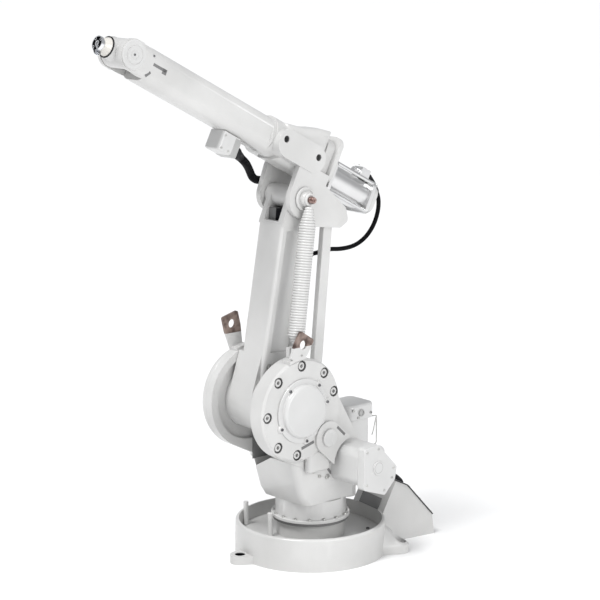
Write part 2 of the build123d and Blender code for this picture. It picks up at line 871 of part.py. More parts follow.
# Forearm
tube_start = collar_front + running_gap
fork_root = forearm_reach - fork_setback
fork_width = fork_near_y - fork_far_y
with BuildPart() as forearm_tube:
    with BuildSketch(along(forearm_link, tube_start)):
        Circle(tube_flange_radius)
    extrude(amount=tube_flange_length)
    with BuildSketch(along(forearm_link, tube_start)):
        RectangleRounded(tube_width, tube_height, tube_corner)
    extrude(amount=fork_root - tube_start)
    with BuildSketch(along(forearm_link, fork_root)):
        RectangleRounded(tube_width, tube_height, tube_corner)
    with BuildSketch(along(forearm_link, fork_root + fork_blend)):
        with Locations(((fork_near_y + fork_far_y) / 2, 0)):
            RectangleRounded(fork_width, 2 * fork_lobe, fork_corner)
    loft()
    with BuildSketch(across(forearm_link, fork_near_y)):
        with Locations((forearm_reach, 0)):
            Circle(fork_lobe)
        with Locations((fork_root + fork_blend, 0)):
            Rectangle(2 * running_gap, 2 * fork_lobe)
        make_hull()
    extrude(amount=fork_width)
    with BuildSketch(across(forearm_link, fork_near_y + fork_disc_height)):
        with Locations((forearm_reach, 0)):
            Circle(fork_disc_radius)
    extrude(amount=fork_disc_depth)
    with BuildSketch(across(forearm_link, slot_near_y)):
        with Locations((forearm_reach, 0)):
            Rectangle(2 * slot_depth, 2 * tube_height)
    extrude(amount=fork_slot, mode=Mode.SUBTRACT)
finish(forearm_tube, "forearm_tube")

with BuildPart() as cable_box:
    with BuildSketch(level(forearm_link, -tube_height / 2)):
        with Locations((cable_box_place, 0)):
            RectangleRounded(cable_box_length, cable_box_width, cable_box_corner)
    extrude(amount=-cable_box_height)
    fillet(cable_box.faces().sort_by(forearm_link.z_axis)[0].edges(), cable_box_edge)
finish(cable_box, "cable_box")

box_end_s = cable_box_place - cable_box_length / 2
hose_start_place = (box_end_s - hose_gland_length, hose_exit_y, hose_exit_n)
hose_start = Vector((upper_link * Location(hose_start_place)).position)
hose_second = Vector((upper_link * Location(hose_route[0])).position)
with BuildPart() as hose_gland:
    with BuildSketch(Plane(origin=hose_start, z_dir=hose_start - hose_second)):
        Circle(hose_gland_radius)
    extrude(amount=hose_gland_length + hose_gland_radius)
    with BuildSketch(along(upper_link, box_end_s)):
        Rectangle(forearm_reach, forearm_reach)
    extrude(amount=forearm_reach, mode=Mode.SUBTRACT)
finish(hose_gland, "hose_gland")

# Wrist and flange
with BuildPart() as wrist_housing:
    with BuildSketch(across(wrist_link, wrist_width / 2)):
        Circle(wrist_barrel)
    extrude(amount=wrist_width)
    with BuildSketch(along(wrist_link, 0)):
        Circle(wrist_width / 2)
    with BuildSketch(along(wrist_link, wrist_nose)):
        Circle(wrist_nose_radius)
    loft()
    for y in (slot_near_y - running_gap, -wrist_width / 2):
        with BuildSketch(across(wrist_link, y)):
            Circle(wrist_spigot)
        extrude(amount=slot_near_y - running_gap - wrist_width / 2)
finish(wrist_housing, "wrist_housing")

with BuildPart() as tool_flange:
    with BuildSketch(along(wrist_link, wrist_nose + running_gap)):
        Circle(wrist_nose_radius - running_gap)
    with BuildSketch(along(wrist_link, sleeve_end)):
        Circle(sleeve_radius)
    loft()
    with BuildSketch(along(wrist_link, sleeve_end)):
        Circle(flange_radius)
    extrude(amount=flange_reach - sleeve_end)
    with BuildSketch(along(wrist_link, flange_reach)):
        with PolarLocations(flange_pcd / 2, 4, start_angle=45):
            Circle(flange_hole_radius)
    extrude(amount=-flange_hole_depth, mode=Mode.SUBTRACT)
    with BuildSketch(along(wrist_link, flange_reach)):
        Circle(flange_bore_radius)
    extrude(amount=-flange_bore_depth, mode=Mode.SUBTRACT)
finish(tool_flange, "tool_flange")

# Motor cable from the plug on the axis 4 motor to a gland on the back of the lower arm
gland_outer_x = -arm_depth / 2 - cable_gland_length
with BuildPart() as cable_gland:
    with BuildSketch(along(lower_link, gland_outer_x)):
        with Locations((0, cable_gland_height)):
            Circle(cable_gland_radius)
    extrude(amount=cable_gland_length)
finish(cable_gland, "cable_gland")


def run_tube(frame_points, radius, label):
    """Tube of straight runs and tangent arcs, each arc as large as its two runs allow."""
    points = [Vector(*p) for p in frame_points]
    runs = [(b - a) for a, b in zip(points, points[1:])]
    radii = []
    for a, b in zip(runs, runs[1:]):
        radii.append(bend_share * min(a.length, b.length) / tan(radians(a.get_angle(b) / 2)))
    print(label, "radii", [round(r) for r in radii])
    with BuildPart() as tube:
        with BuildLine() as route:
            FilletPolyline(*points, radius=radii)
        with BuildSketch(Plane(origin=points[0], z_dir=runs[0])):
            Circle(radius)
        sweep()
    length = sum(edge.length for edge in route.edges())
    ratio = tube.part.volume / (pi * radius**2 * length)
    print(label, "length", round(length), "volume ratio", round(ratio, 4))
    finish(tube, label)


def on(frame, place):
    """A place given in a link's own axes, in the model's axes."""
    return tuple((frame * Location(place)).position)


cable_points = [on(plug_place, (-plug_length - run, 0, 0)) for run in (0, cable_straight)]
cable_points += [on(upper_link, (s, 0, n)) for s, n in cable_route]
cable_points += [on(lower_link, (gland_outer_x - cable_straight, 0, cable_gland_height))]
cable_points += [on(lower_link, (gland_outer_x, 0, cable_gland_height))]
run_tube(cable_points, cable_radius, "motor_cable")

# Hose from the cable box to a clamp on the outside of the far cheek
clamp_face_y = far_fork_y - cheek_width
with BuildPart() as hose_clamp:
    with BuildSketch(across(upper_link, clamp_face_y)):
        with Locations((clamp_front - clamp_length / 2, hose_end_n)):
            Rectangle(clamp_length, clamp_width)
    extrude(amount=clamp_height)
finish(hose_clamp, "hose_clamp")

hose_points = [on(upper_link, hose_start_place)]
hose_points += [on(upper_link, place) for place in hose_route]
hose_points += [on(upper_link, (clamp_front, clamp_face_y - clamp_height / 2 - hose_lift, hose_end_n))]
run_tube(hose_points, hose_radius, "forearm_hose")

for name, place in (
    ("shoulder", shoulder),
    ("elbow", elbow),
    ("rod_foot", rod_foot),
    ("forearm", forearm_link),
    ("wrist", wrist_link),
):
    print(name, place)
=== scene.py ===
import json
from math import atan2, cos, pi, radians, sin

import bmesh
import bpy
from mathutils import Matrix, Vector


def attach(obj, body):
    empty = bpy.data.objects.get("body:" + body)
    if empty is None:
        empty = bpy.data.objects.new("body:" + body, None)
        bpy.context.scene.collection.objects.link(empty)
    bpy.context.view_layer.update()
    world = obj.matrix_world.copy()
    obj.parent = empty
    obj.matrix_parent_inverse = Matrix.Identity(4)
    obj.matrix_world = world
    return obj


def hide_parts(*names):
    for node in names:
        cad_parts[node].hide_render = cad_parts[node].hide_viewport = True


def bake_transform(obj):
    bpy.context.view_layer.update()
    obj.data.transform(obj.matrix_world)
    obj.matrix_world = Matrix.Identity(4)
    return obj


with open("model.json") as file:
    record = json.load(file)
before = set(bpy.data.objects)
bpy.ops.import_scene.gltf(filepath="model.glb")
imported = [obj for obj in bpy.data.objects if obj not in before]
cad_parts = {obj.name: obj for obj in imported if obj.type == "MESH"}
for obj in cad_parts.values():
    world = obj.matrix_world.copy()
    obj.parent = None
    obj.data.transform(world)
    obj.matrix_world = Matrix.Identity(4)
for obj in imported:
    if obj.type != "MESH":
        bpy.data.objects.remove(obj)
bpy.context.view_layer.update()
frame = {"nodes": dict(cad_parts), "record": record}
scene = bpy.context.scene
print("frame loaded:", len(frame["nodes"]), "nodes")

# The camera stands on the near side, ahead of the arm and a little above its top
camera = {
    "place": (3.1443, 4.9499, 1.9709),
    "tilt": 78.3,
    "turn": 147.88,
    "lens": 123.36,
    "sensor": 36,
}
cameraData = bpy.data.cameras.new("camera")
cameraData.lens = camera["lens"]
cameraData.sensor_width = camera["sensor"]
cameraObject = bpy.data.objects.new("camera", cameraData)
cameraObject.location = camera["place"]
cameraObject.rotation_euler = (radians(camera["tilt"]), 0, radians(camera["turn"]))
scene.collection.objects.link(cameraObject)
scene.camera = cameraObject

# The arm's links in metres and degrees, each with x forward, y to the near side and z up the link
arm = {
    "turn": 10.2,
    "shoulder": (0.150, 0, 0.475),
    "lean": 5.5,
    "lowerArm": 0.600,
    "pitch": 27.5,
    "elbowRise": 0.120,
    "forearm": 0.720,
    "bend": 5.6,
    "motorDrop": 0.014,
}


def turned(angle, axis):
    return Matrix.Rotation(radians(angle), 4, axis)


def moved(x, y, z):
    return Matrix.Translation((x, y, z))


ground = Matrix.Identity(4)
shoulder = turned(arm["turn"], "Z") @ moved(*arm["shoulder"])
lowerLink = shoulder @ turned(-arm["lean"], "Y")
elbow = lowerLink @ moved(0, 0, arm["lowerArm"])
upperLink = elbow @ turned(arm["lean"] - arm["pitch"], "Y")
forearmLink = upperLink @ moved(0, 0, arm["elbowRise"])
motorLink = forearmLink @ moved(0, 0, -arm["motorDrop"])
wristLink = forearmLink @ moved(arm["forearm"], 0, 0) @ turned(arm["bend"], "Y")
flangeLink = wristLink @ turned(90, "Y")

facings = {
    "up": (0, "Z"),
    "near": (-90, "X"),
    "far": (90, "X"),
    "back": (-90, "Y"),
}


# Sizes of pieces are in millimetres, which these helpers turn into metres. What moved() gets is in metres.
def pointOn(link, x, y, z):
    return link @ Vector((x / 1000, y / 1000, z / 1000))


def spot(link, x, y, z, facing="up"):  # a place in the link, facing the way a screw's head looks
    angle, axis = facings[facing]
    return link @ moved(x / 1000, y / 1000, z / 1000) @ turned(angle, axis)


def circle(radius, count, shift=0.5):
    turns = [2 * pi * (step + shift) / count for step in range(count)]
    return [(radius * cos(turn), radius * sin(turn)) for turn in turns]


# Materials: a cloudy colour and roughness with a fine bump, by kind of surface
kinds = {
    "paint": {"scale": 4.0, "fine": 260.0, "depth": 0.0005, "inputs": {"Coat Weight": 0.4, "Coat Roughness": 0.14}},
    "metal": {"scale": 30.0, "fine": 600.0, "depth": 0.0003, "grain": 0.12, "inputs": {"Metallic": 1.0}},
    "black": {"scale": 60.0, "fine": 900.0, "depth": 0.0003, "grain": 0.2, "inputs": {"Specular IOR Level": 0.06}},
}
looks = {
    "casting paint": {
        "kind": "paint", "dark": (0.53, 0.528, 0.52), "light": (0.61, 0.608, 0.60),
        "low": 0.28, "high": 0.40, "grain": 0.35,
    },
    "cover paint": {
        "kind": "paint", "dark": (0.54, 0.54, 0.535), "light": (0.59, 0.59, 0.585),
        "low": 0.24, "high": 0.34, "grain": 0.15,
    },
    "floor tub paint": {
        "kind": "paint", "dark": (0.45, 0.448, 0.44), "light": (0.53, 0.528, 0.52),
        "low": 0.34, "high": 0.46, "grain": 0.4,
    },
    # Grey for the connector and socket faces, and grey painted shade on the button grooves and the cable box's end
    "box grey paint and shade": {
        "kind": "paint", "dark": (0.34, 0.34, 0.335), "light": (0.40, 0.40, 0.395),
        "low": 0.3, "high": 0.4, "grain": 0.2,
    },
    "pocket shade paint": {
        "kind": "paint", "dark": (0.13, 0.13, 0.13), "light": (0.2, 0.2, 0.2),
        "low": 0.5, "high": 0.7, "grain": 0.4,
    },
    "sleeve cream paint": {
        "kind": "paint", "dark": (0.62, 0.60, 0.56), "light": (0.68, 0.66, 0.62),
        "low": 0.25, "high": 0.35, "grain": 0.1,
    },
    "motor silver": {
        "kind": "metal", "dark": (0.66, 0.66, 0.66), "light": (0.74, 0.74, 0.74),
        "low": 0.26, "high": 0.32, "scale": 6,
    },
    "flange chrome": {
        "kind": "metal", "dark": (0.62, 0.63, 0.65), "light": (0.82, 0.83, 0.85), "low": 0.08, "high": 0.16,
    },
    "screw steel": {
        "kind": "metal", "dark": (0.10, 0.10, 0.105), "light": (0.26, 0.26, 0.27), "low": 0.30, "high": 0.45,
    },
    "zinc screw": {
        "kind": "metal", "dark": (0.45, 0.45, 0.44), "light": (0.62, 0.62, 0.60), "low": 0.25, "high": 0.4,
    },
    "brown steel": {
        "kind": "metal", "dark": (0.07, 0.045, 0.038), "light": (0.30, 0.23, 0.20),
        "low": 0.38, "high": 0.6, "scale": 40, "inputs": {"Metallic": 0.45},
    },
    "reddish stud": {
        "kind": "metal", "dark": (0.20, 0.12, 0.105), "light": (0.46, 0.34, 0.31),
        "low": 0.3, "high": 0.5, "scale": 90,
    },
    "cable rubber": {
        "kind": "black", "dark": (0.003, 0.003, 0.004), "light": (0.007, 0.007, 0.008), "low": 0.65, "high": 0.8,
    },
    "black plastic": {
        "kind": "black", "dark": (0.012, 0.012, 0.013), "light": (0.03, 0.03, 0.032), "low": 0.35, "high": 0.5,
    },
    "plate paint": {
        "kind": "black", "dark": (0.034, 0.034, 0.036), "light": (0.046, 0.046, 0.048), "low": 0.4, "high": 0.55,
    },
    # Black painted shade inside the foot holes, the lower arm's window and the flange's recess
    "dark inside shade": {
        "kind": "black", "dark": (0.003, 0.003, 0.004), "light": (0.01, 0.01, 0.012), "low": 0.7, "high": 0.9,
    },
}
cloudSpan = {"positions": (0.35, 0.62), "detail": 4.0, "fineDetail": 2.0}


def newMaterial(name):
    material = bpy.data.materials.new(name)
    material.use_nodes = True
    tree = material.node_tree
    return material, tree, tree.nodes["Principled BSDF"]


def addNode(tree, kind, **values):
    node = tree.nodes.new(kind)
    for key, value in values.items():
        node.inputs[key].default_value = value
    return node


def cloudColour(tree, shader, colours, scale):
    link = tree.links.new
    place = addNode(tree, "ShaderNodeTexCoord")
    mapping = addNode(tree, "ShaderNodeMapping")
    link(place.outputs["Object"], mapping.inputs["Vector"])
    cloud = addNode(tree, "ShaderNodeTexNoise", Scale=scale, Detail=cloudSpan["detail"])
    link(mapping.outputs["Vector"], cloud.inputs["Vector"])
    tone = addNode(tree, "ShaderNodeValToRGB")
    for element, colour, position in zip(tone.color_ramp.elements, colours, cloudSpan["positions"]):
        element.color = [*colour, 1]
        element.position = position
    link(cloud.outputs["Fac"], tone.inputs["Fac"])
    link(tone.outputs["Color"], shader.inputs["Base Color"])
    return mapping, cloud


def roughnessFrom(tree, shader, cloud, low, high):
    span = addNode(tree, "ShaderNodeMapRange")
    span.inputs["To Min"].default_value = low
    span.inputs["To Max"].default_value = high
    tree.links.new(cloud.outputs["Fac"], span.inputs["Value"])
    tree.links.new(span.outputs["Result"], shader.inputs["Roughness"])


def fineBump(tree, shader, mapping, scale, strength, depth):
    fine = addNode(tree, "ShaderNodeTexNoise", Scale=scale, Detail=cloudSpan["fineDetail"])
    tree.links.new(mapping.outputs["Vector"], fine.inputs["Vector"])
    bump = addNode(tree, "ShaderNodeBump", Strength=strength, Distance=depth)
    tree.links.new(fine.outputs["Fac"], bump.inputs["Height"])
    tree.links.new(bump.outputs["Normal"], shader.inputs["Normal"])


def finish(name):
    kind = kinds[looks[name]["kind"]]
    look = {**kind, **looks[name]}
    material, tree, shader = newMaterial(name)
    mapping, cloud = cloudColour(tree, shader, (look["dark"], look["light"]), look["scale"])
    roughnessFrom(tree, shader, cloud, look["low"], look["high"])
    fineBump(tree, shader, mapping, look["fine"], look["grain"], look["depth"])
    for key, value in look["inputs"].items():
        shader.inputs[key].default_value = value
    return material


castingPaint = finish("casting paint")
coverPaint = finish("cover paint")
tubPaint = finish("floor tub paint")
boxGreyAndShade = finish("box grey paint and shade")
pocketShade = finish("pocket shade paint")
sleeveCream = finish("sleeve cream paint")
motorSilver = finish("motor silver")
flangeChrome = finish("flange chrome")
screwSteel = finish("screw steel")
zincScrew = finish("zinc screw")
brownSteel = finish("brown steel")
reddishStud = finish("reddish stud")
cableRubber = finish("cable rubber")
blackPlastic = finish("black plastic")
platePaint = finish("plate paint")
insideShade = finish("dark inside shade")
print("materials made")

# Helpers that show, soften and join meshes
angles = {"smooth": 35, "sharp": 30, "flat": 0.5}
weld = {"turned": 1e-6, "node": 1e-5}


def smoothFaces(data, angle):
    for face in data.polygons:
        face.use_smooth = True
    data.set_sharp_from_angle(angle=radians(angle))


def showPiece(mesh, name, body, material, smooth=angles["smooth"], replaces=()):
    data = bpy.data.meshes.new(name)
    mesh.to_mesh(data)
    mesh.free()
    data.materials.append(material)
    smoothFaces(data, smooth)
    piece = bpy.data.objects.new(name, data)
    scene.collection.objects.link(piece)
    if body:
        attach(piece, body)
    if replaces:
        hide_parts(*replaces)
    return piece


def evaluatedMesh(piece):
    return bpy.data.meshes.new_from_object(piece.evaluated_get(bpy.context.evaluated_depsgraph_get()))


def roundEdges(piece, width, steps):
    bevel = piece.modifiers.new("round edges", "BEVEL")
    bevel.width = width / 1000
    bevel.segments = steps
    bevel.limit_method = "ANGLE"
    bevel.angle_limit = radians(angles["sharp"])
    bevel.harden_normals = True


def bevelEdges(mesh, edges, width, segments=2):
    bmesh.ops.bevel(
        mesh, geom=edges, offset=width / 1000, offset_type="OFFSET", affect="EDGES", segments=segments,
        profile=0.5, material=-1, clamp_overlap=True,
    )


def soften(mesh, width):
    limit = radians(angles["sharp"])
    bevelEdges(mesh, [edge for edge in mesh.edges if edge.is_manifold and edge.calc_face_angle(0) > limit], width)


def join(into, part, where):
    data = bpy.data.meshes.new("part")
    part.to_mesh(data)
    before = len(into.verts)
    into.from_mesh(data)
    into.verts.ensure_lookup_table()
    bmesh.ops.transform(into, matrix=where, verts=into.verts[before:])
    bpy.data.meshes.remove(data)


def gathered(parts):
    mesh = bmesh.new()
    for part, where in parts:
        join(mesh, part, where)
        part.free()
    return mesh


def fasten(name, body, material, part, places, smooth=angles["smooth"], replaces=()):
    mesh = bmesh.new()
    for where in places:
        join(mesh, part, where)
    part.free()
    showPiece(mesh, name, body, material, smooth, replaces)


# Helpers that make parts: prisms, turned parts, blocks and screws
def prism(mesh, radius, height, sides, middle):
    bmesh.ops.create_cone(
        mesh, cap_ends=True, segments=sides, radius1=radius / 1000, radius2=radius / 1000,
        depth=height / 1000, matrix=moved(0, 0, middle / 1000),
    )


def spinFull(mesh, geom, steps):
    bmesh.ops.spin(
        mesh, geom=geom, cent=(0, 0, 0), axis=(0, 0, 1), angle=2 * pi, steps=steps, use_merge=True,
    )


def spun(profile, steps=64):
    mesh = bmesh.new()
    points = [mesh.verts.new((r / 1000, 0, h / 1000)) for r, h in profile]
    edges = [mesh.edges.new(pair) for pair in zip(points, points[1:])]
    spinFull(mesh, points + edges, steps)
    bmesh.ops.remove_doubles(mesh, verts=mesh.verts, dist=weld["turned"])
    bmesh.ops.recalc_face_normals(mesh, faces=mesh.faces)
    return mesh


def wireCircle(mesh, wire, radius, sides):
    bmesh.ops.create_circle(
        mesh, cap_ends=False, segments=sides, radius=wire / 1000,
        matrix=moved(radius / 1000, 0, 0) @ turned(90, "X"),
    )


def block(width, depth, height, edge, segments=2):
    mesh = bmesh.new()
    bmesh.ops.create_cube(mesh, size=1, matrix=Matrix.Diagonal((width / 1000, depth / 1000, height / 1000, 1)))
    bevelEdges(mesh, mesh.edges[:], edge, segments)
    bmesh.ops.translate(mesh, verts=mesh.verts, vec=(0, 0, height / 2000))
    return mesh


socketShape = {"edge": 0.14, "rim": 0.25, "socket": 0.55}  # shares of the screw's radius
hexShape = {"edge": 0.08, "underRing": 1.45, "washerHeight": 1.2}


def topFace(mesh):
    return max(mesh.faces, key=lambda face: face.calc_center_median().z)


def socketScrew(radius, height, sides=24, sink=0.6):
    mesh = bmesh.new()
    prism(mesh, radius, height, sides, middle=height / 2)
    bevelEdges(mesh, list(topFace(mesh).edges), radius * socketShape["edge"])
    mesh.faces.ensure_lookup_table()
    top = topFace(mesh)
    bmesh.ops.inset_individual(mesh, faces=[top], thickness=radius * socketShape["rim"] / 1000, depth=0)
    flat = radius * socketShape["socket"] * cos(pi / 6) / 1000
    for vert in top.verts:  # the inner ring becomes a hexagon
        angle = atan2(vert.co.y, vert.co.x)
        reach = flat / cos((angle % (pi / 3)) - pi / 6)
        vert.co.x = reach * cos(angle)
        vert.co.y = reach * sin(angle)
    sunk = bmesh.ops.extrude_discrete_faces(mesh, faces=[top])["faces"][0]
    bmesh.ops.translate(mesh, verts=sunk.verts, vec=(0, 0, -height * sink / 1000))
    return mesh


def hexHead(radius, height):
    rim, thick = radius * hexShape["underRing"], hexShape["washerHeight"]
    mesh = spun(((0, 0), (rim, 0), (rim, thick), (0, thick)), steps=24)
    head = bmesh.new()
    prism(head, radius, height, sides=6, middle=height / 2 + thick)
    soften(head, radius * hexShape["edge"])
    join(mesh, head, ground)
    head.free()
    return mesh


# Cords: the motor's cable and the forearm's hose, radius and length in metres
cords = {
    "motor_cable": {
        "radius": 0.0065,
        "length": 0.425,
        "bodies": ("upper_arm", "lower_arm"),
        "stiffness": "medium",
    },
    "forearm_hose": {
        "radius": 0.012,
        "length": 0.268,
        "bodies": ("forearm", "upper_arm"),
        "stiffness": "limp",
    },
}
# The points of their routes are those in part.py
routes = {
    "plugPlace": (-0.274, 0, 0.064),
    "plugLean": -25,
    "plug": (-32, -66),
    "loop": ((-354, 117), (-364, 84), (-364, 44), (-349, 2), (-318, -34), (-272, -61), (-222, -79)),
    "gland": (-123, -89),
    "glandHeight": 430,
    "hose": (
        (228, -5, 38), (196, -12, 33), (150, -42, 35), (105, -74, 32), (62, -94, 17), (26, -97, 26), (-14, -97, 51),
    ),
}
plugLink = motorLink @ moved(*routes["plugPlace"]) @ turned(routes["plugLean"], "Y")
cableRoute = [pointOn(plugLink, x, 0, 0) for x in routes["plug"]]
cableRoute += [pointOn(upperLink, x, 0, z) for x, z in routes["loop"]]
cableRoute += [pointOn(lowerLink, x, 0, routes["glandHeight"]) for x in routes["gland"]]
hoseRoute = [pointOn(upperLink, *place) for place in routes["hose"]]


def curveThrough(name, kind, lines):
    curve = bpy.data.curves.new(name, "CURVE")
    curve.dimensions = "3D"
    for line in lines:
        spline = curve.splines.new(kind)
        spline.points.add(len(line) - 1)
        for point, place in zip(spline.points, line):
            point.co = (*place, 1)
        if kind == "NURBS":
            spline.order_u = 3
            spline.use_endpoint_u = True
    carrier = bpy.data.objects.new(name, curve)
    scene.collection.objects.link(carrier)
    bpy.context.view_layer.update()
    return carrier


def tubeAround(carrier, radius, rounding):
    carrier.data.bevel_depth = radius
    carrier.data.bevel_resolution = rounding
    carrier.data.use_fill_caps = True
    bpy.context.view_layer.update()
    tube = evaluatedMesh(carrier)
    bpy.data.objects.remove(carrier)
    return tube


def cordPiece(name, route):
    look = cords[name]
    carrier = curveThrough(name + "_line", "NURBS", [route])
    path = [tuple(vert.co) for vert in bpy.data.meshes.new_from_object(carrier).vertices]
    tube = tubeAround(carrier, look["radius"], rounding=5)
    tube.materials.clear()
    tube.materials.append(cableRubber)
    for face in tube.polygons:
        face.use_smooth = True
    piece = bpy.data.objects.new(name + "_sheath", tube)
    scene.collection.objects.link(piece)
    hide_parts(name)
    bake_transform(piece)


cordPiece("motor_cable", cableRoute)
cordPiece("forearm_hose", hoseRoute)
print("cords laid")

# Castings and covers: the CAD shapes with rounded edges, and counterbores where screws sit
drum = {
    "face": 127,
    "boltCircle": 130,
    "boltAngles": (90, 47, 0, -46, -82, 132, 164),
    "counterbore": 16,
    "counterboreDepth": 10,
}
drumBolts = [
    (drum["boltCircle"] * cos(radians(angle)), drum["boltCircle"] * sin(radians(angle)))
    for angle in drum["boltAngles"]
]
foot = {"places": ((244, 0), (-207, 165), (-207, -165)), "top": 25, "radius": 15.5, "depth": 22, "holeShadeBottom": 3.2}
castings = {
    "base_casting": {"edge": 4, "paint": tubPaint},
    "connection_plate": {"edge": 1, "paint": platePaint},
    "power_socket": {"edge": 2, "paint": blackPlastic},
    "signal_socket": {"edge": 2, "paint": blackPlastic},
    "swivel_ring": {"edge": 2, "paint": castingPaint},
    "stop_pin_1": {"edge": 1.5, "paint": castingPaint},
    "stop_pin_2": {"edge": 1.5, "paint": castingPaint},
    "stand_casting": {"edge": 5, "paint": castingPaint},
    "axis_3_gear_housing": {"edge": 1.2, "paint": castingPaint},
    "axis_2_gear_housing": {"edge": 3, "paint": castingPaint},
    "centre_cap": {"edge": 2, "paint": coverPaint},
    "pinion_cover": {"edge": 2, "paint": coverPaint},
    "axis_3_motor": {"edge": 2, "paint": coverPaint},
    "axis_3_motor_cover": {"edge": 6, "paint": coverPaint},
    "axis_2_motor": {"edge": 2, "paint": coverPaint},
    "axis_2_motor_cover": {"edge": 6, "paint": coverPaint},
    "axis_1_motor": {"edge": 2, "paint": coverPaint},
    "axis_1_motor_cover": {"edge": 2, "paint": coverPaint},
    "spring_anchor": {"edge": 1.5, "paint": castingPaint},
    "lower_arm": {"edge": 4, "paint": castingPaint},
    "cable_gland": {"edge": 1, "paint": blackPlastic},
    "crank": {"edge": 2, "paint": castingPaint},
    "parallel_rod": {"edge": 3, "paint": castingPaint},
    "upper_arm_housing": {"edge": 4, "paint": castingPaint},
    "axis_4_motor": {"edge": 2, "paint": motorSilver},
    "axis_4_motor_cover": {"edge": 2, "paint": coverPaint},
    "terminal_box": {"edge": 2, "paint": motorSilver},
    "motor_plug": {"edge": 1, "paint": blackPlastic},
    "hose_clamp": {"edge": 2, "paint": zincScrew},
    "forearm_tube": {"edge": 3, "paint": castingPaint},
    "cable_box": {"edge": 2, "paint": coverPaint},
    "hose_gland": {"edge": 1.5, "paint": blackPlastic},
    "wrist_housing": {"edge": 2, "paint": castingPaint},
}
holes = {  # each with its place, radius and depth
    "base_casting": [(spot(ground, x, y, foot["top"]), foot["radius"], foot["depth"]) for x, y in foot["places"]],
    "axis_3_gear_housing": [
        (spot(shoulder, x, drum["face"], z, "near"), drum["counterbore"], drum["counterboreDepth"])
        for x, z in drumBolts
    ],
}
drill = {"sides": 32, "above": 6}
bodyOf = {}
for bodyName, members in frame["record"]["behaviour"]["bodies"].items():
    for node in members:
        bodyOf[node] = bodyName


def nodeShape(node):  # the solid's mesh with its flat faces made whole
    mesh = bmesh.new()
    mesh.from_mesh(frame["nodes"][node].data)
    bmesh.ops.remove_doubles(mesh, verts=mesh.verts, dist=weld["node"])
    bmesh.ops.dissolve_limit(
        mesh, angle_limit=radians(angles["flat"]), verts=mesh.verts, edges=mesh.edges, delimit=set(),
    )
    return mesh


def carve(piece, places):
    mesh = bmesh.new()
    for where, radius, depth in places:
        bit = bmesh.new()
        prism(bit, radius, depth + drill["above"], drill["sides"], (drill["above"] - depth) / 2)
        join(mesh, bit, where)
        bit.free()
    data = bpy.data.meshes.new("drills")
    mesh.to_mesh(data)
    mesh.free()
    drills = bpy.data.objects.new("drills", data)
    scene.collection.objects.link(drills)
    cut = piece.modifiers.new("holes", "BOOLEAN")
    cut.object = drills
    cut.solver = "EXACT"
    carved = evaluatedMesh(piece)
    piece.modifiers.clear()
    piece.data = carved
    bpy.data.objects.remove(drills)
    smoothFaces(piece.data, angles["smooth"])


for node, look in castings.items():
    casting = showPiece(
        nodeShape(node), node + "_casting", bodyOf[node], look["paint"], replaces=(node,),
    )
    if node in holes:
        carve(casting, holes[node])
    roundEdges(casting, look["edge"], steps=3)
print("castings painted")

# Stand: socket screws in the drum's counterbores, small screws on bosses round the cap
bottoms = [spot(shoulder, x, drum["face"] - drum["counterboreDepth"], z, "near") for x, z in drumBolts]
fasten("drum_screws", "stand", castingPaint, socketScrew(radius=11, height=8, sink=0.9), bottoms)
cap = {
    "places": ((51, 66), (83, -40), (-12, -90), (-60, 66), (-92, 12)),
    "boss": ((0, 0), (12, 0), (11, 5), (9, 7.5), (0, 7.5)),
    "screwLift": 0.0074,
}
capBosses = [spot(shoulder, x, drum["face"], z, "near") for x, z in cap["places"]]
fasten("cap_bosses", "stand", castingPaint, spun(cap["boss"], steps=28), capBosses)
fasten(
    "cap_screws", "stand", screwSteel, socketScrew(radius=4.5, height=3, sides=12),
    [where @ moved(0, 0, cap["screwLift"]) for where in capBosses],
)

# Painted shade: dark grey rings round the drum's screws in their counterbores, and dark grey hexagons in their
# sockets
seatShade = {
    "ring": ((11.2, 0), (15.9, 0), (15.9, 8.6), (15.2, 8.6), (15.2, 0.6), (11.2, 0.6), (11.2, 0)),
    "hexagon": ((0, 0), (5.1, 0), (5.1, 0.5), (0, 0.5)),
    "hexagonLift": 0.0009,
}
fasten("drum_seat_shades", "stand", pocketShade, spun(seatShade["ring"], steps=36), bottoms)
fasten(
    "drum_socket_shades", "stand", pocketShade, spun(seatShade["hexagon"], steps=6),
    [where @ moved(0, 0, seatShade["hexagonLift"]) for where in bottoms],
)

# Stand: the rounded boss under the drum, dark grey strips of painted shade where its slots and a shadow wedge are, a
# dark grey plate of painted shade in the pocket, and small screws
stand = {
    "boss": {"place": (-72, 100, -164), "size": (84, 66, 26), "edge": 11, "steps": 5},
    "slotShades": (((-146, 134, -84), 42, 8, -43), ((-128, 99.2, -204), 38, 8, -53), ((-22, 126, -106), 50, 9, 14)),
    "screws": (((-70, 100, -201), 5), ((-94, 99, -219), 5), ((-124, 100, -226), 8)),
    "pocket": {"place": (-40, -94.6, -152), "size": (72, 76, 0.9), "edge": 0.3},
}


def slotShadesIn(link, places, height, edge):
    parts = []
    for place, length, width, lean in places:
        where = spot(link, *place) @ turned(lean, "Y") @ turned(-90, "X")
        parts.append((block(length, width, height, edge), where))
    return gathered(parts)


boss = stand["boss"]
fasten(
    "stand_boss", "stand", castingPaint, block(*boss["size"], boss["edge"], boss["steps"]),
    [spot(shoulder, *boss["place"], "near")], smooth=50,
)
standSlotShades = slotShadesIn(shoulder, stand["slotShades"], height=1.6, edge=0.7)
showPiece(standSlotShades, "stand_slot_shades", "stand", pocketShade)
pocket = stand["pocket"]
fasten(
    "pocket_shade_plate", "stand", pocketShade, block(*pocket["size"], pocket["edge"]),
    [spot(shoulder, *pocket["place"], "near")],
)
standScrews = []
for place, radius in stand["screws"]:
    standScrews.append((socketScrew(radius, height=4, sides=18), spot(shoulder, *place, "near")))
showPiece(gathered(standScrews), "stand_screws", "stand", zincScrew)
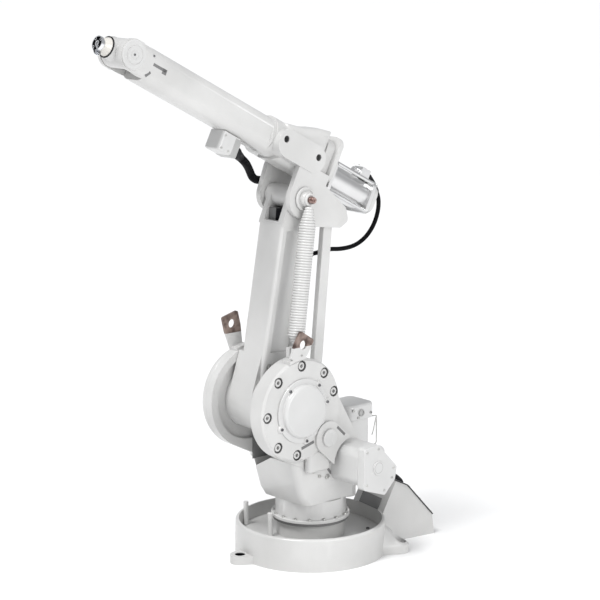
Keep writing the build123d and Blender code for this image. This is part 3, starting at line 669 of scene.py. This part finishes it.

# Motors at both cheeks: a thin grey ring of painted shade for the groove round the button, corner screws on the
# cover
motorTwo = {
    "x": -193,
    "z": -182.6,
    "screws": ((42, 52), (-3, 55), (-64, -12), (-58, -40), (-27, -73), (43, -46)),
    "faces": (("near", 240, 244.9), ("far", -260, -264.9)),
    "grooveShade": ((15, 0), (16.4, 0), (16.4, 0.15), (15, 0.15), (15, 0)),
}
for side, faceY, buttonY in motorTwo["faces"]:
    fasten(
        "button_groove_shades_" + side, "stand", boxGreyAndShade, spun(motorTwo["grooveShade"], steps=48),
        [spot(shoulder, motorTwo["x"], buttonY, motorTwo["z"], side)],
    )
    fasten(
        "corner_screws_" + side, "stand", zincScrew, socketScrew(radius=4, height=1.4, sides=16),
        [spot(shoulder, motorTwo["x"] + x, faceY, motorTwo["z"] + z, side) for x, z in motorTwo["screws"]],
    )

# Axis 1 motor: screws on its cover, a round connector, and a wire bail
motorOne = {
    "screws": ((-298, 28, -74), (-318, 28, -98), (-370, 28, -90)),
    "connector": (-330, 27, -84),
    "connectorShape": ((0, 0), (11, 0), (11, 5), (10, 6), (8, 6), (7.4, 3), (0, 3)),
    "bails": (
        ((-378, 22, -104), (-399, 22, -106), (-401, 22, -112), (-401, 22, -188), (-396, 22, -194), (-368, 20, -196)),
        ((-382, 22, -164), (-388, 22, -150), (-399, 22, -112)),
    ),
    "bailRadius": 2,
}
fasten(
    "motor_cover_screws", "stand", zincScrew, socketScrew(radius=4.5, height=3, sides=16),
    [spot(shoulder, *place, "near") for place in motorOne["screws"]],
)
fasten(
    "motor_connector", "stand", boxGreyAndShade, spun(motorOne["connectorShape"], steps=28),
    [spot(shoulder, *motorOne["connector"], "near")],
)
bails = [[pointOn(shoulder, *place) for place in bail] for bail in motorOne["bails"]]
bailMesh = bmesh.new()
bailLine = curveThrough("wire_bail_line", "POLY", bails)
bailMesh.from_mesh(tubeAround(bailLine, motorOne["bailRadius"] / 1000, rounding=2))
showPiece(bailMesh, "wire_bail", "stand", zincScrew, smooth=60)

# Base: bolts on the swivel ring, a dark grey ring of painted shade under it, floor screws, and a dark grey plate of
# painted shade for the opening behind the tub
base = {
    "ringBolts": 16,
    "ringCircle": 111,
    "ringTop": 119.7,
    "shadeRing": ((100, 101), (112, 101), (112, 109.6), (100, 109.6), (100, 101)),
    "floor": 55,
    "floorScrews": ((-154, 77), (-154, -77), (160, 100), (160, -100)),
    "openingShade": (36, 100, 1.0, 0.3),
    "openingShadePlace": (-0.2155, 0, 0.1145),
    "openingShadeLean": 63.4,
}
fasten(
    "swivel_bolts", "base", zincScrew, socketScrew(radius=4.4, height=5, sides=14),
    [spot(ground, x, y, base["ringTop"]) for x, y in circle(base["ringCircle"], base["ringBolts"])],
)
fasten("swivel_shade_ring", "base", pocketShade, spun(base["shadeRing"], steps=96), [ground])
fasten(
    "floor_screws", "base", screwSteel, socketScrew(radius=5.5, height=4, sides=16),
    [spot(ground, x, y, base["floor"]) for x, y in base["floorScrews"]],
)
fasten(
    "box_opening_shade", "base", pocketShade, block(*base["openingShade"]),
    [moved(*base["openingShadePlace"]) @ turned(base["openingShadeLean"], "Y")],
)

# Spring: a close coil with an eye at each end, between its anchor and the stud
spring = {
    "radius": 20.5,
    "wire": 4.2,
    "pitch": 7.7,
    "steps": 22,
    "sides": 8,
    "foot": 42,
    "head": 75,
    "eye": 16,
    "gap": 4,
    "spare": 10,
    "draw": 0.58,
    "y": 97,
    "anchor": 172,
    "eyes": (10.5, 15),
    "blendFoot": 0.02,
    "blendHead": 0.03,
}
springRun = pointOn(elbow, 0, spring["y"], 0) - pointOn(shoulder, 0, spring["y"], spring["anchor"])
localRun = shoulder.to_3x3().inverted() @ springRun
springTurn = Matrix.Rotation(atan2(localRun.x, localRun.z), 4, "Y")
springLink = spot(shoulder, 0, spring["y"], spring["anchor"]) @ springTurn
springLength = springRun.length * 1000


def coil(radius, wire, pitch, turns, steps, sides):
    mesh = bmesh.new()
    wireCircle(mesh, wire, radius, sides)
    bmesh.ops.spin(
        mesh, geom=mesh.verts[:] + mesh.edges[:], cent=(0, 0, 0), axis=(0, 0, 1), angle=2 * pi * turns,
        dvec=(0, 0, pitch / steps / 1000), steps=int(steps * turns), use_merge=False,
    )
    bmesh.ops.holes_fill(mesh, edges=[edge for edge in mesh.edges if edge.is_boundary], sides=sides)
    bmesh.ops.recalc_face_normals(mesh, faces=mesh.faces)
    return mesh


coilTurns = (springLength - 2 * spring["eye"] - spring["spare"]) / spring["pitch"]
springMesh = coil(
    spring["radius"], spring["wire"], spring["pitch"], coilTurns, spring["steps"], spring["sides"],
)
bmesh.ops.translate(springMesh, verts=springMesh.verts, vec=(0, 0, (spring["eye"] + spring["gap"]) / 1000))
for vert in springMesh.verts:  # both ends draw in towards their eyes
    height = vert.co.z * 1000
    top = max(0.0, (height - (springLength - spring["head"])) / (spring["head"] - spring["eye"]))
    low = max(0.0, (spring["foot"] - height) / (spring["foot"] - spring["eye"]))
    share = 1 - spring["draw"] * min(1.0, max(top, low))
    vert.co.x *= share
    vert.co.y *= share
for height, radius in zip((0, springLength), spring["eyes"]):
    ring = bmesh.new()
    wireCircle(ring, spring["wire"], radius, sides=10)
    spinFull(ring, ring.verts[:] + ring.edges[:], steps=32)
    bmesh.ops.recalc_face_normals(ring, faces=ring.faces)
    join(springMesh, ring, moved(0, 0, height / 1000) @ turned(90, "X"))
    ring.free()
bmesh.ops.transform(springMesh, matrix=springLink, verts=springMesh.verts)
springPiece = showPiece(
    springMesh, "spring_coil", None, castingPaint, smooth=60, replaces=("balancing_spring",),
)
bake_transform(springPiece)
print("spring wound")

# Elbow pin: a domed cap in its ring, then the stud that carries the spring
pin = {
    "cap": (
        (0, 98), (10, 98), (16, 95.8), (20, 91), (21.8, 85), (21.8, 80.5), (24, 80.2), (24, 78.6), (29, 78.6),
        (29, 81), (32, 81), (34, 79), (34, 75), (20, 75), (20, -80), (0, -80),
    ),
    "stud": ((0, 96), (9.8, 96), (9.8, 112), (8.4, 115.6), (3.2, 115.6), (2.4, 112.5), (0, 112.5)),
}
pinPlace = [spot(elbow, 0, 0, 0, "near")]
fasten(
    "elbow_pin_cap", "lower_arm", castingPaint, spun(pin["cap"], steps=48), pinPlace,
    replaces=("elbow_pin",),
)
fasten("spring_stud", "lower_arm", reddishStud, spun(pin["stud"], steps=32), pinPlace)

# Wrist disc with its rings and centre screw
disc = {
    "profile": (
        (0, 0.5), (10, 0.5), (10.6, -1.3), (12.6, -1.3), (13.2, 0.8), (23.5, 0.8), (24.2, -1.5), (26.4, -1.5),
        (27.2, 1.2), (37, 1.2), (39.4, -0.4), (39.6, -3), (0, -3),
    ),
    "place": (720, 57, 0),
    "sideScrew": (652, 46.4, 26),
}
discPlace = spot(forearmLink, *disc["place"], "near")
fasten(
    "wrist_disc", "forearm", coverPaint, spun(disc["profile"], steps=72), [discPlace], smooth=25,
)
fasten(
    "wrist_screws", "forearm", screwSteel, socketScrew(radius=3.2, height=2.4, sides=12),
    [discPlace, spot(forearmLink, *disc["sideScrew"], "near")],
)

# Forearm: dark grey strips of painted shade where the slots near the wrist are, and a grey block of painted shade on
# the cable box's end cover
forearm = {
    "slotShades": (((620, 45.5, 6), 48, 8, 0), ((601, 45.5, 3), 15, 15, 0), ((650, 45.9, -25), 20, 8, 54)),
    "boxEndShade": (25, 63.2, 54.4, 3, 3),
    "boxEndShadePlace": (265.9, 0, -106.6),
}
forearmSlotShades = slotShadesIn(forearmLink, forearm["slotShades"], height=1.2, edge=0.5)
showPiece(forearmSlotShades, "forearm_slot_shades", "forearm", pocketShade)
fasten(
    "cable_box_end_shade", "forearm", boxGreyAndShade, block(*forearm["boxEndShade"]),
    [spot(forearmLink, *forearm["boxEndShadePlace"])],
)

# Lower arm: painted shade filling the window behind its front edge, a dark grey block with a black one on its near
# part, and bolts above the hub
window = {
    "window_grey_shade": {"size": (84, 60.4, 34, 1), "place": (-2, 2.5, -67.5), "paint": pocketShade},
    "window_shadow": {"size": (84, 30, 34, 1), "place": (-1, 17.8, -67.5), "paint": insideShade},
}
for name, look in window.items():
    fasten(name, "lower_arm", look["paint"], block(*look["size"]), [spot(elbow, *look["place"])])
hubBolts = ((38, 14.8, 110), (18, 14.8, 116))
fasten(
    "lower_arm_bolts", "lower_arm", zincScrew, hexHead(radius=6.5, height=5),
    [spot(lowerLink, *place, "near") for place in hubBolts],
)

# Strain reliefs: tapered sleeves where the cords leave their housings
reliefs = {
    "plug_relief": {"body": "upper_arm", "radius": 10.5, "cord": 6.5, "length": 28, "ends": cableRoute[:2]},
    "gland_relief": {"body": "lower_arm", "radius": 10.5, "cord": 6.5, "length": 26, "ends": cableRoute[:-3:-1]},
    "hose_relief": {"body": "forearm", "radius": 15.5, "cord": 12, "length": 24, "ends": hoseRoute[:2]},
}


def pointed(start, end):
    return Matrix.Translation(start) @ (end - start).to_track_quat("Z", "Y").to_matrix().to_4x4()


for name, look in reliefs.items():
    radius, cord, length = look["radius"], look["cord"], look["length"]
    profile = (
        (0, 0), (radius, 0), (radius, 5), (radius - 1, 6.5),
        (cord + 0.7, length), (cord + 0.2, length + 0.4), (0, length),
    )
    fasten(name, look["body"], blackPlastic, spun(profile, steps=32), [pointed(*look["ends"])])
motorNuts = [(-273.6, y, z) for y in (-41, 41) for z in (-41, 41)]
fasten(
    "motor_nuts", "upper_arm", zincScrew, hexHead(radius=5, height=5),
    [spot(motorLink, *place, "back") for place in motorNuts],
)

# Far drum: a cap and a circle of screws, plainer than on the near side, with dark grey rings of painted shade under
# the screws
farDrum = {
    "face": -152,
    "cap": ((0, 9), (56, 9), (60, 6.5), (62, 0), (0, 0)),
    "screws": 8,
    "circle": 104,
    "underRing": ((8.6, 0), (11.5, 0), (11.5, 0.9), (8.6, 0.9), (8.6, 0)),
}
farPlaces = [
    spot(shoulder, x, farDrum["face"], z, "far") for x, z in circle(farDrum["circle"], farDrum["screws"])
]
fasten(
    "far_cap", "stand", coverPaint, spun(farDrum["cap"], steps=72),
    [spot(shoulder, 0, farDrum["face"], 0, "far")],
)
fasten(
    "far_drum_screws", "stand", castingPaint, socketScrew(radius=9, height=6, sink=0.8), farPlaces,
)
fasten("far_drum_screw_shades", "stand", pocketShade, spun(farDrum["underRing"], steps=32), farPlaces)

# Connection box: screws on the slanted plate, faces and pins of the two sockets
plate = {
    "place": (-0.3427, 0, 0.1175),
    "lean": -48.4,
    "screws": [(x, y, 0) for x in (-62, 0, 58) for y in (-77, 77)],
    "power": (31.5, -36, 24),
    "powerFace": ((0, 0), (20, 0), (20, 1.6), (18.6, 2.2), (16.6, 2.2), (15.6, 0.5), (0, 0.5)),
    "powerPin": ((0, 0), (1.5, 0), (1.5, 1.6), (1, 2), (0, 2)),
    "powerCircle": 9,
    "powerPins": 6,
    "signal": (-28.7, -36, 22),
    "signalFace": (18, 58, 1.6, 0.6),
    "signalPin": ((0, 0), (1.1, 0), (1.1, 1), (0.7, 1.4), (0, 1.4)),
    "signalPins": [(x, y, 1.4) for x in (-4, 4) for y in range(-21, 22, 6)],
}
plateLink = moved(*plate["place"]) @ turned(plate["lean"], "Y")
powerLink = spot(plateLink, *plate["power"])
signalLink = spot(plateLink, *plate["signal"])
fasten(
    "plate_screws", "base", zincScrew, socketScrew(radius=3.6, height=2.6, sides=16),
    [spot(plateLink, *place) for place in plate["screws"]],
)
fasten("power_face", "base", boxGreyAndShade, spun(plate["powerFace"], steps=40), [powerLink])
fasten(
    "power_pins", "base", zincScrew, spun(plate["powerPin"], steps=12),
    [spot(powerLink, x, y, 0) for x, y in circle(plate["powerCircle"], plate["powerPins"], shift=0)],
)
fasten("signal_face", "base", boxGreyAndShade, block(*plate["signalFace"]), [signalLink])
fasten(
    "signal_pins", "base", zincScrew, spun(plate["signalPin"], steps=10),
    [spot(signalLink, *place) for place in plate["signalPins"]],
)

# Small screws on the terminal box, the cable box and the near lifting lug's foot
smallScrews = {
    "terminal_screws": {
        "body": "upper_arm", "link": motorLink, "facing": "up",
        "places": [(x, y, 78) for x in (-255, -213) for y in (-12, 12)],
    },
    "cable_box_screws": {
        "body": "forearm", "link": forearmLink, "facing": "near",
        "places": [(316, 31, -98), (316, 31, -62), (288, 31, -98)],
    },
    "lug_screws": {"body": "stand", "link": shoulder, "facing": "near", "places": [(6, 131.6, 163)]},
}
for name, look in smallScrews.items():
    places = [spot(look["link"], *place, look["facing"]) for place in look["places"]]
    screw = socketScrew(radius=3, height=2.2, sides=16)
    fasten(name, look["body"], zincScrew, screw, places)
print("details added")

# Lifting lugs: brown eyes on pale feet, parted at this height above the shoulder
lugs = {"lifting_lug_1": 0.187, "lifting_lug_2": 0.192}
upward = shoulder.to_3x3() @ Vector((0, 0, 1))
for node, split in lugs.items():
    mesh = nodeShape(node)
    plane = shoulder @ Vector((0, 0, split))
    bmesh.ops.bisect_plane(mesh, geom=mesh.verts[:] + mesh.edges[:] + mesh.faces[:], plane_co=plane, plane_no=upward)
    for face in mesh.faces:
        face.material_index = 1 if face.calc_center_median().z < plane.z else 0
    lug = showPiece(mesh, node + "_plate", "stand", brownSteel, replaces=(node,))
    lug.data.materials.append(castingPaint)
    roundEdges(lug, width=0.8, steps=2)

# Painted shade: dark cups inside the foot holes and the tapped holes of the upper arm's side
holeShades = {
    "foot": ((0, 0), (15.2, 0), (15.2, 20), (14.6, 20), (14.6, 0.6), (0, 0.6)),
    "tapped": ((0, 0), (9.8, 0), (9.8, 21), (9.3, 21), (9.3, 0.6), (0, 0.6)),
    "tappedPlaces": ((140.6, 51.4, 5), (3.6, 51.4, 5)),
}
fasten(
    "foot_hole_shades", "base", insideShade, spun(holeShades["foot"], steps=32),
    [spot(ground, x, y, foot["holeShadeBottom"]) for x, y in foot["places"]],
)
fasten(
    "tapped_hole_shades", "upper_arm", pocketShade, spun(holeShades["tapped"], steps=28),
    [spot(forearmLink, *place, "near") for place in holeShades["tappedPlaces"]],
)

# Tool flange: a bright ring with four bolt bosses round a recess darkened by a black ring of painted shade, on a
# cream sleeve
flange = {
    "sleeve": ((0, 52.6), (26.2, 52.6), (25.6, 55), (18.4, 70), (17.4, 72), (0, 72)),
    "ring": (
        (0, 70), (17, 70), (17, 75.4), (19.6, 76), (20.2, 76.6), (20.2, 84.4), (19.6, 85), (18.4, 85), (18, 84.6),
        (18, 78), (7.6, 78), (7.6, 84.6), (7.2, 85), (5.2, 85), (4.8, 84.6), (4.8, 74), (0, 74),
    ),
    "boss": ((2.4, 77), (4.3, 77), (4.3, 84.5), (3.9, 85), (2.8, 85), (2.4, 84.6), (2.4, 77)),
    "bossCircle": 15.75,
    "recessShade": (
        (8, 78.2), (17.8, 78.2), (17.8, 83.6), (17.4, 83.6), (17.4, 78.8), (8.4, 78.8), (8.4, 83.6), (8, 83.6),
        (8, 78.2),
    ),
    "shadeRing": ((24, 50), (29.6, 50), (29.6, 52.8), (24, 52.8), (24, 50)),
}
fasten("flange_sleeve", "flange", sleeveCream, spun(flange["sleeve"]), [flangeLink], smooth=30)
flangeMesh = spun(flange["ring"])
for x, y in circle(flange["bossCircle"], 4):
    flangeBoss = spun(flange["boss"], steps=24)
    join(flangeMesh, flangeBoss, spot(ground, x, y, 0))
    flangeBoss.free()
fasten(
    "tool_flange_ring", "flange", flangeChrome, flangeMesh, [flangeLink], smooth=30,
    replaces=("tool_flange",),
)
fasten(
    "flange_recess_shade", "flange", insideShade, spun(flange["recessShade"], steps=48), [flangeLink],
    smooth=30,
)
# The wrist seal, widened, is a black ring of painted shade where the sleeve meets the wrist body
fasten(
    "wrist_seal_and_shade", "wrist", blackPlastic, spun(flange["shadeRing"], steps=48), [flangeLink],
    smooth=30,
)
print("flange made")

# Floor and lights
stage = {"floor": 40.0, "grey": (0.84, 0.84, 0.84), "roughness": 0.7}
floorMesh = bmesh.new()
bmesh.ops.create_grid(floorMesh, x_segments=1, y_segments=1, size=stage["floor"])
floorData = bpy.data.meshes.new("floor")
floorMesh.to_mesh(floorData)
floorMesh.free()
floor = bpy.data.objects.new("floor", floorData)
scene.collection.objects.link(floor)
floorMaterial, _, floorShader = newMaterial("pale floor")
floorShader.inputs["Base Color"].default_value = (*stage["grey"], 1)
floorShader.inputs["Roughness"].default_value = stage["roughness"]
floorData.materials.append(floorMaterial)

lights = {
    "aim": (0.2, 0, 0.7),
    "sunPlace": (3.0, 0.6, 6.0),
    "sunPower": 2.7,
    "sunSpread": 20,
    "fillPlace": (-0.5, 6.0, 2.4),
    "fillSize": 4.0,
    "fillPower": 190,
    "worldColour": (0.97, 0.98, 1.0),
    "worldStrength": 0.52,
}


def aimed(name, light, place):
    lamp = bpy.data.objects.new(name, light)
    lamp.location = place
    lamp.rotation_euler = (Vector(lights["aim"]) - Vector(place)).to_track_quat("-Z", "Y").to_euler()
    scene.collection.objects.link(lamp)


sun = bpy.data.lights.new("sun", "SUN")
sun.energy = lights["sunPower"]
sun.angle = radians(lights["sunSpread"])
aimed("key sun", sun, lights["sunPlace"])
fill = bpy.data.lights.new("fill", "AREA")
fill.shape = "SQUARE"
fill.size = lights["fillSize"]
fill.energy = lights["fillPower"]
aimed("fill light", fill, lights["fillPlace"])
world = bpy.data.worlds.new("studio")
world.use_nodes = True
sky = world.node_tree.nodes["Background"]
sky.inputs["Color"].default_value = (*lights["worldColour"], 1)
sky.inputs["Strength"].default_value = lights["worldStrength"]
scene.world = world
scene.view_settings.view_transform = "Standard"
scene.view_settings.look = "None"
